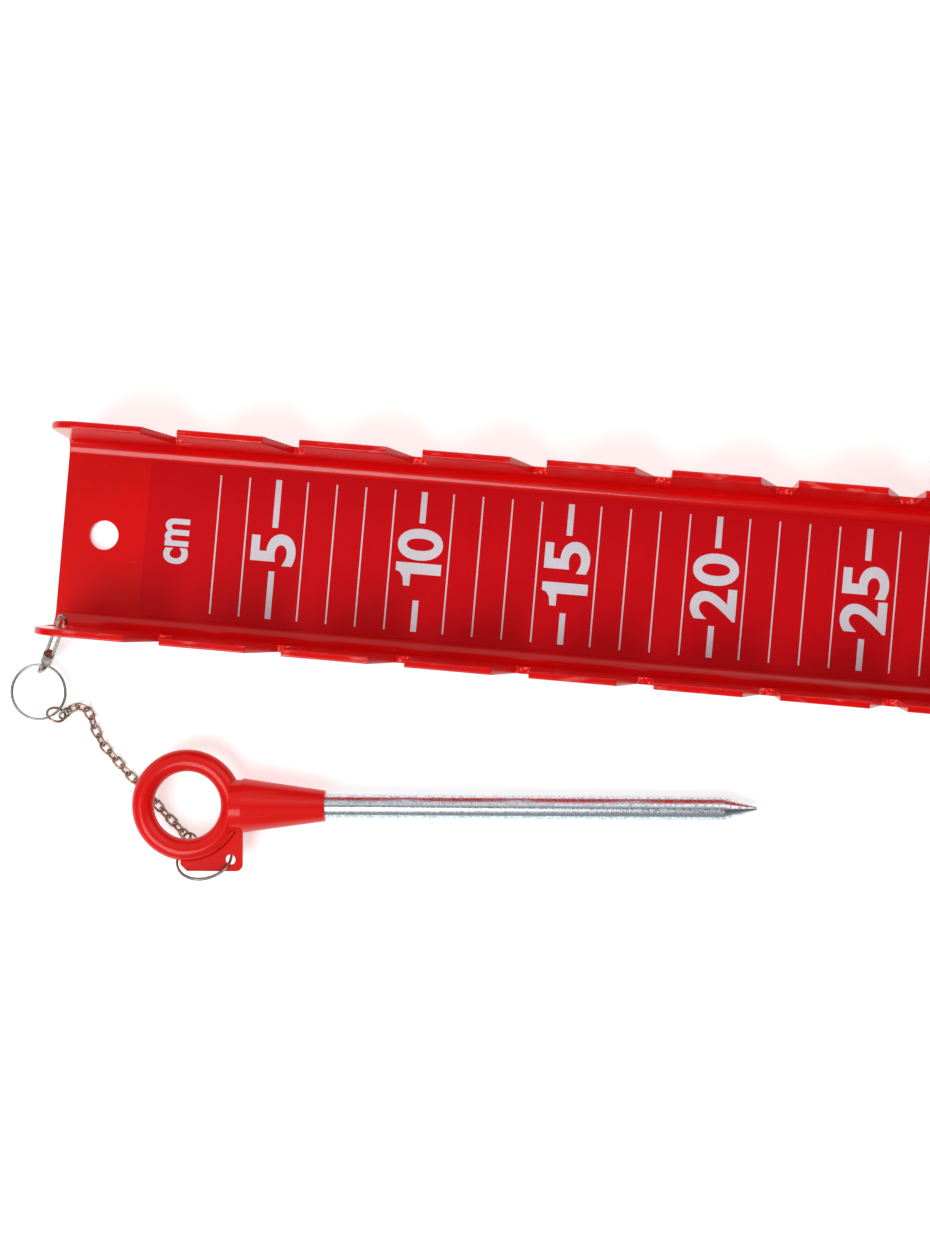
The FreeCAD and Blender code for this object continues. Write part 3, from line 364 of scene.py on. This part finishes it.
def bars_tree():
    """A row of equal flat bars, a pitch apart, from a first place."""
    tree, given, result = node_tree_of("printed_bars", {
        "First": "NodeSocketVector",
        "Pitch": "NodeSocketFloat",
        "Count": "NodeSocketInt",
        "Size": "NodeSocketVector",
        "Ink": "NodeSocketMaterial",
    })
    row = tree.nodes.new("GeometryNodeMeshLine")
    row.mode = "OFFSET"
    step = tree.nodes.new("ShaderNodeCombineXYZ")
    bar = tree.nodes.new("GeometryNodeMeshCube")
    spread = tree.nodes.new("GeometryNodeInstanceOnPoints")
    real = tree.nodes.new("GeometryNodeRealizeInstances")
    paint = tree.nodes.new("GeometryNodeSetMaterial")
    link = tree.links.new
    link(given.outputs["Pitch"], step.inputs["X"])
    link(given.outputs["Count"], row.inputs["Count"])
    link(given.outputs["First"], row.inputs["Start Location"])
    link(step.outputs[0], row.inputs["Offset"])
    link(given.outputs["Size"], bar.inputs["Size"])
    link(row.outputs[0], spread.inputs["Points"])
    link(bar.outputs[0], spread.inputs["Instance"])
    link(spread.outputs[0], real.inputs[0])
    link(real.outputs[0], paint.inputs["Geometry"])
    link(given.outputs["Ink"], paint.inputs["Material"])
    link(paint.outputs[0], result.inputs[0])
    return tree


bars = bars_tree()


def at_mark(mark):
    """The place along the rail where the scale reads a number of centimetres."""
    return FRONT_END + SCALE_ZERO + mark * CENTIMETRE


def printed_bars(first_mark, count, y, length, width):
    """Bars across the rail, a centimetre apart, the first at a mark of the scale."""
    return grown("bars", bars, {
        "First": (at_mark(first_mark), y, PRINT_HEIGHT),
        "Pitch": CENTIMETRE,
        "Count": count,
        "Size": (width, length, PRINT_THICKNESS),
        "Ink": print_ink,
    })


def lettered(words):
    """The flat bold outline of a word or a digit, from the corner of its own box."""
    curve = bpy.data.curves.new("words", "FONT")
    curve.body = words
    curve.offset = LETTER_WEIGHT
    curve.resolution_u = 6
    holder = bpy.data.objects.new("words", curve)
    bpy.context.scene.collection.objects.link(holder)
    graph = bpy.context.evaluated_depsgraph_get()
    mesh = bpy.data.meshes.new_from_object(holder.evaluated_get(graph))
    bpy.data.objects.remove(holder)
    return mesh


def flagged_one():
    """A bold 1 with a flag, which the plain type lacks."""
    outline = [
        (0.27, 0), (0.51, 0), (0.51, 1), (0.33, 1), (0.29, 0.90), (0.18, 0.83),
        (0, 0.81), (0, 0.67), (0.27, 0.67),
    ]
    mesh = bpy.data.meshes.new("one")
    mesh.from_pydata([(x, y, 0) for x, y in outline], [], [tuple(range(len(outline)))])
    return mesh


def stamped(mesh, mark, along, tall, wide):
    """A glyph set to a size and printed at a mark, its middle some way along the words."""
    xs = [vertex.co.x for vertex in mesh.vertices]
    ys = [vertex.co.y for vertex in mesh.vertices]
    middle = Vector(((min(xs) + max(xs)) / 2, (min(ys) + max(ys)) / 2, 0))
    scale = Matrix.Diagonal((wide / (max(xs) - min(xs)), tall / (max(ys) - min(ys)), 1, 1))
    place = Matrix.Translation((at_mark(mark), along, PRINT_HEIGHT + PRINT_THICKNESS / 2))
    across_rail = Matrix.Rotation(math.pi / 2, 4, "Z")
    mesh.transform(place @ across_rail @ scale @ Matrix.Translation(-middle))
    return mesh


def numbered(mark):
    """The digits of a number at its mark. A 1 is narrow, near to a 0 and off a 5."""
    digits = str(mark)
    glyphs = []
    for index, digit in enumerate(digits):
        along = (index - (len(digits) - 1) / 2) * DIGIT_PITCH
        if digit == "1":
            along += (DIGIT_WIDE - ONE_WIDE) * ONE_SHIFT[mark]
            glyphs.append(stamped(flagged_one(), mark, along, DIGIT_TALL, ONE_WIDE))
        else:
            glyphs.append(stamped(lettered(digit), mark, along, DIGIT_TALL, DIGIT_WIDE))
    return glyphs


def joined(meshes, name):
    """Several meshes as one."""
    shape = bmesh.new()
    for mesh in meshes:
        shape.from_mesh(mesh)
    mesh = bpy.data.meshes.new(name)
    shape.to_mesh(mesh)
    shape.free()
    return mesh


prints = [printed_bars(*FIRST_LINES, 0, PRINT_SPAN, LINE_WIDE)]
for mark in NUMBERED:
    prints.append(printed_bars(mark + 1, LINES_BETWEEN, 0, PRINT_SPAN, LINE_WIDE))
for mark in NUMBERED:
    prints.extend(numbered(mark))
    dash = DASH_BESIDE_ONE_DIGIT if mark < 10 else DASH_BESIDE_TWO_DIGITS
    for side in (-1, 1):
        prints.append(printed_bars(mark, 1, side * (PRINT_SPAN - dash) / 2, dash, DASH_WIDE))
prints.append(stamped(lettered("cm"), UNIT_MARK, 0, UNIT_TALL, UNIT_WIDE))
adopt(joined(prints, "scale_print"), "scale_print", "base", print_ink)


# The tethers: a wire snap hook through the rail's wall, a split ring in its eye, a small
# chain and a second split ring in the spike's tab. All are nickel plated, and the plate of
# the hook and the chain has gone brownish. A split ring is a flat strip wound twice round.
HOOK_BRIGHT = (0.46, 0.39, 0.35, 1)
HOOK_DULL = (0.28, 0.22, 0.19, 1)
CHAIN_BRIGHT = (0.48, 0.35, 0.29, 1)
CHAIN_DULL = (0.26, 0.17, 0.14, 1)
RING_BRIGHT = (0.34, 0.35, 0.34, 1)
RING_DULL = (0.26, 0.26, 0.25, 1)
RING_RADIUS = 0.00935
RING_STRIP = 0.00075
RING_TURN_HEIGHT = 0.00050
RING_RISE = 0.00052
RING_STEPS = 64
RING_TURNS = 2
SPIKE_YAW = 4.8
SPIKE_DIP = 1.827
TAB_RING_YAW = 8
TAB_RING_TILT = -50


def plated(name, bright, dull, roughness, spots):
    """Nickel or zinc plate, with duller spots whose grain is about 1 / spots metres."""
    plate = Finish(name, metallic=1.0)
    patches = plate.ramp(plate.noise(spots, 4), 0.42, 0.62)
    fine = plate.noise(spots * 5, 2)
    return plate.set(
        base_color=plate.mix(patches, bright, dull),
        roughness=roughness + 0.18 * patches + 0.08 * fine,
        normal=plate.bump(fine, depth=0.00001, strength=0.4),
    )


nickel = plated("nickel_plate", RING_BRIGHT, RING_DULL, roughness=0.24, spots=250)
hook_nickel = plated("hook_plate", HOOK_BRIGHT, HOOK_DULL, roughness=0.24, spots=500)
brown_nickel = plated("chain_plate", CHAIN_BRIGHT, CHAIN_DULL, roughness=0.26, spots=600)


def wound_ring_tree():
    """A flat strip wound round, one turn on the other, with a step at its two ends."""
    tree, given, result = node_tree_of("wound_ring", {
        "Radius": "NodeSocketFloat",
        "Turns": "NodeSocketFloat",
        "Rise": "NodeSocketFloat",
        "Strip": "NodeSocketFloat",
        "Turn Height": "NodeSocketFloat",
        "Plate": "NodeSocketMaterial",
    })
    spiral = tree.nodes.new("GeometryNodeCurveSpiral")
    spiral.inputs["Resolution"].default_value = RING_STEPS
    strip = tree.nodes.new("GeometryNodeCurvePrimitiveQuadrilateral")
    sweep = tree.nodes.new("GeometryNodeCurveToMesh")
    sweep.inputs["Fill Caps"].default_value = True
    real = tree.nodes.new("GeometryNodeRealizeInstances")
    paint = tree.nodes.new("GeometryNodeSetMaterial")
    link = tree.links.new
    link(given.outputs["Radius"], spiral.inputs["Start Radius"])
    link(given.outputs["Radius"], spiral.inputs["End Radius"])
    link(given.outputs["Turns"], spiral.inputs["Rotations"])
    link(given.outputs["Rise"], spiral.inputs["Height"])
    link(given.outputs["Strip"], strip.inputs["Width"])
    link(given.outputs["Turn Height"], strip.inputs["Height"])
    link(spiral.outputs[0], sweep.inputs["Curve"])
    link(strip.outputs[0], sweep.inputs["Profile Curve"])
    link(sweep.outputs[0], real.inputs[0])
    link(real.outputs[0], paint.inputs["Geometry"])
    link(given.outputs["Plate"], paint.inputs["Material"])
    link(paint.outputs[0], result.inputs[0])
    return tree


wound_ring = wound_ring_tree()


def turned(*steps):
    """Turns in degrees about named axes, one after another."""
    turn = Matrix.Identity(4)
    for axis, angle in steps:
        turn = turn @ Matrix.Rotation(math.radians(angle), 4, axis)
    return turn


def wound(node, turn):
    """The wound ring in a node's place, about the middle of the node's box."""
    low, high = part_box(node)
    middle = (Vector(low) + Vector(high)) / 2
    ring = grown(node + "_wound", wound_ring, {
        "Radius": RING_RADIUS,
        "Turns": float(RING_TURNS),
        "Rise": RING_RISE,
        "Strip": RING_STRIP,
        "Turn Height": RING_TURN_HEIGHT,
        "Plate": nickel,
    })
    centred = Matrix.Translation((0, 0, -RING_RISE / 2))
    ring.transform(Matrix.Translation(middle) @ turn @ centred)
    adopt(ring, node + "_wound", body_of[node], nickel, node)


for end, about in (("front", 0), ("rear", 180)):
    finished(f"{end}_snap_hook", hook_nickel)
    finished(f"{end}_chain", brown_nickel)
    wound(f"{end}_hook_split_ring", turned(("Z", about)))
    wound(f"{end}_tab_split_ring", turned(
        ("Z", about + SPIKE_YAW),
        ("Y", SPIKE_DIP),
        ("Z", TAB_RING_YAW),
        ("X", TAB_RING_TILT),
    ))


# The spikes: a pointed zinc-plated rod pressed into a cast head with a finger ring and a
# welded tab. Head and tab are powder coated in the rail's red, with less gloss.
SPIKE_RED = (0.70, 0.006, 0.004, 1)
SPIKE_RED_DEEP = (0.62, 0.005, 0.004, 1)
SPIKE_GLOSS = 0.28
TAB_EDGE = 0.0003
ZINC_BRIGHT = (0.72, 0.75, 0.79, 1)
ZINC_DULL = (0.44, 0.50, 0.58, 1)
spike_coat = powder_coat("spike_red_powder_coat", SPIKE_RED, SPIKE_RED_DEEP, SPIKE_GLOSS)
zinc = plated("bright_zinc_plate", ZINC_BRIGHT, ZINC_DULL, roughness=0.16, spots=1100)
for end in ("front", "rear"):
    finished(f"{end}_spike_head", spike_coat)
    eased(f"{end}_spike_tab", spike_coat, TAB_EDGE)
    finished(f"{end}_spike_rod", zinc)


# The pedal blocks: a folded saddle on two zinc-plated locking bars, two welded brackets and
# a folded foot plate, all powder coated, with a ribbed rubber pad, a rubber foot and a
# moulded knob.
RUBBER_BLACK = (0.018, 0.018, 0.019, 1)
RUBBER_WORN = (0.042, 0.041, 0.040, 1)
PLASTIC_BLACK = (0.020, 0.020, 0.021, 1)
PLASTIC_SPECK = (0.030, 0.030, 0.031, 1)
FOLDED_EDGE = 0.0004
PAD_EDGE = 0.0005
KNOB_EDGE = 0.0012
FOLDED_PARTS = ("saddle", "inner_bracket", "outer_bracket", "foot_plate")
ZINC_PARTS = (
    "front_locking_bar", "rear_locking_bar", "hinge_rod", "hinge_caps",
    "clamp_bolt", "clamp_washer", "pad_rivets",
)

rubber = Finish("black_rubber")
crumbs = rubber.noise(1400, 4)
worn = rubber.ramp(rubber.noise(90, 4), 0.45, 0.7)
black_rubber = rubber.set(
    base_color=rubber.mix(worn, RUBBER_BLACK, RUBBER_WORN),
    roughness=0.62 + 0.2 * crumbs,
    normal=rubber.bump(crumbs, depth=0.00012, strength=0.6),
)
moulded = Finish("black_moulded_plastic")
spark = moulded.noise(1800, 3)
black_plastic = moulded.set(
    base_color=moulded.mix(moulded.ramp(spark, 0.4, 0.6), PLASTIC_BLACK, PLASTIC_SPECK),
    roughness=0.42 + 0.12 * spark,
    normal=moulded.bump(spark, depth=0.00006, strength=0.5),
)
for hand in ("left", "right"):
    for part in FOLDED_PARTS:
        eased(f"{hand}_{part}", spike_coat, FOLDED_EDGE)
    for part in ZINC_PARTS:
        finished(f"{hand}_{part}", zinc)
    finished(f"{hand}_rubber_foot", black_rubber)
    eased(f"{hand}_rubber_pad", black_rubber, PAD_EDGE)
    eased(f"{hand}_clamp_knob", black_plastic, KNOB_EDGE, segments=3)


# Plain white floor and a white studio: a big soft light from the photograph's lower left,
# a weaker one from the other side, and a pale sky that shows in the gloss. The paper is a
# little green against the red that the rail throws on it.
PAPER_WHITE = (0.74, 0.84, 0.82, 1)
PAPER_WHITE_PALE = (0.76, 0.86, 0.84, 1)
FLOOR_REACH = 6
FLOOR_DROP = 0.0003
SKY_STRENGTH = 0.85
floor_mesh = bpy.data.meshes.new("floor")
floor_shape = bmesh.new()
bmesh.ops.create_grid(floor_shape, x_segments=1, y_segments=1, size=FLOOR_REACH)
bmesh.ops.translate(floor_shape, verts=floor_shape.verts, vec=(0, 0, -FLOOR_DROP))
floor_shape.to_mesh(floor_mesh)
floor_shape.free()
paper = Finish("white_paper", emission_color=(1, 1, 1, 1), emission_strength=0.5)
floor_mesh.materials.append(paper.set(
    base_color=paper.mix(paper.noise(4, 2), PAPER_WHITE, PAPER_WHITE_PALE),
    roughness=0.9 + 0.05 * paper.noise(30, 2),
))
floor = bpy.data.objects.new("floor", floor_mesh)
bpy.context.scene.collection.objects.link(floor)


def softbox(name, place, aim, size, power):
    """A square soft light at a place, turned to a point."""
    light = bpy.data.lights.new(name, "AREA")
    light.size = size
    light.energy = power
    item = bpy.data.objects.new(name, light)
    item.location = place
    item.rotation_euler = (Vector(aim) - Vector(place)).to_track_quat("-Z", "Y").to_euler()
    bpy.context.scene.collection.objects.link(item)


softbox("key_light", place=(-1.0, -1.2, 2.1), aim=(-0.15, 0, 0), size=1.5, power=50)
softbox("fill_light", place=(0.9, 1.3, 1.9), aim=(-0.1, 0, 0), size=1.8, power=10)
world = bpy.data.worlds.new("studio")
world.use_nodes = True
sky = world.node_tree
direction = sky.nodes.new("ShaderNodeTexCoord")
ways = sky.nodes.new("ShaderNodeSeparateXYZ")
sky.links.new(direction.outputs["Generated"], ways.inputs[0])


def sky_fade(source, stops):
    """Grey levels of the studio along one direction."""
    fade = sky.nodes.new("ShaderNodeValToRGB")
    while len(fade.color_ramp.elements) < len(stops):
        fade.color_ramp.elements.new(0.5)
    for element, (position, level) in zip(fade.color_ramp.elements, stops):
        element.position = position
        element.color = (level, level, level, 1)
    sky.links.new(source, fade.inputs[0])
    return fade.outputs["Color"]


side = sky.nodes.new("ShaderNodeMapRange")
side.inputs["From Min"].default_value = -1.0
sky.links.new(ways.outputs["Y"], side.inputs["Value"])
across = sky_fade(side.outputs[0], [
    (0.10, 0.36), (0.36, 0.09), (0.545, 0.09), (0.60, 0.50), (0.66, 1.0), (0.85, 0.9),
])
overhead = sky_fade(ways.outputs["Z"], [(0.02, 0.75), (0.30, 1.0)])
blend = sky.nodes.new("ShaderNodeMix")
blend.data_type = "RGBA"
blend.blend_type = "MULTIPLY"
blend.inputs[0].default_value = 1.0
sky.links.new(across, blend.inputs[6])
sky.links.new(overhead, blend.inputs[7])
sky.links.new(blend.outputs[2], sky.nodes["Background"].inputs["Color"])
sky.nodes["Background"].inputs["Strength"].default_value = SKY_STRENGTH
bpy.context.scene.world = world
bpy.context.scene.view_settings.view_transform = "Standard"
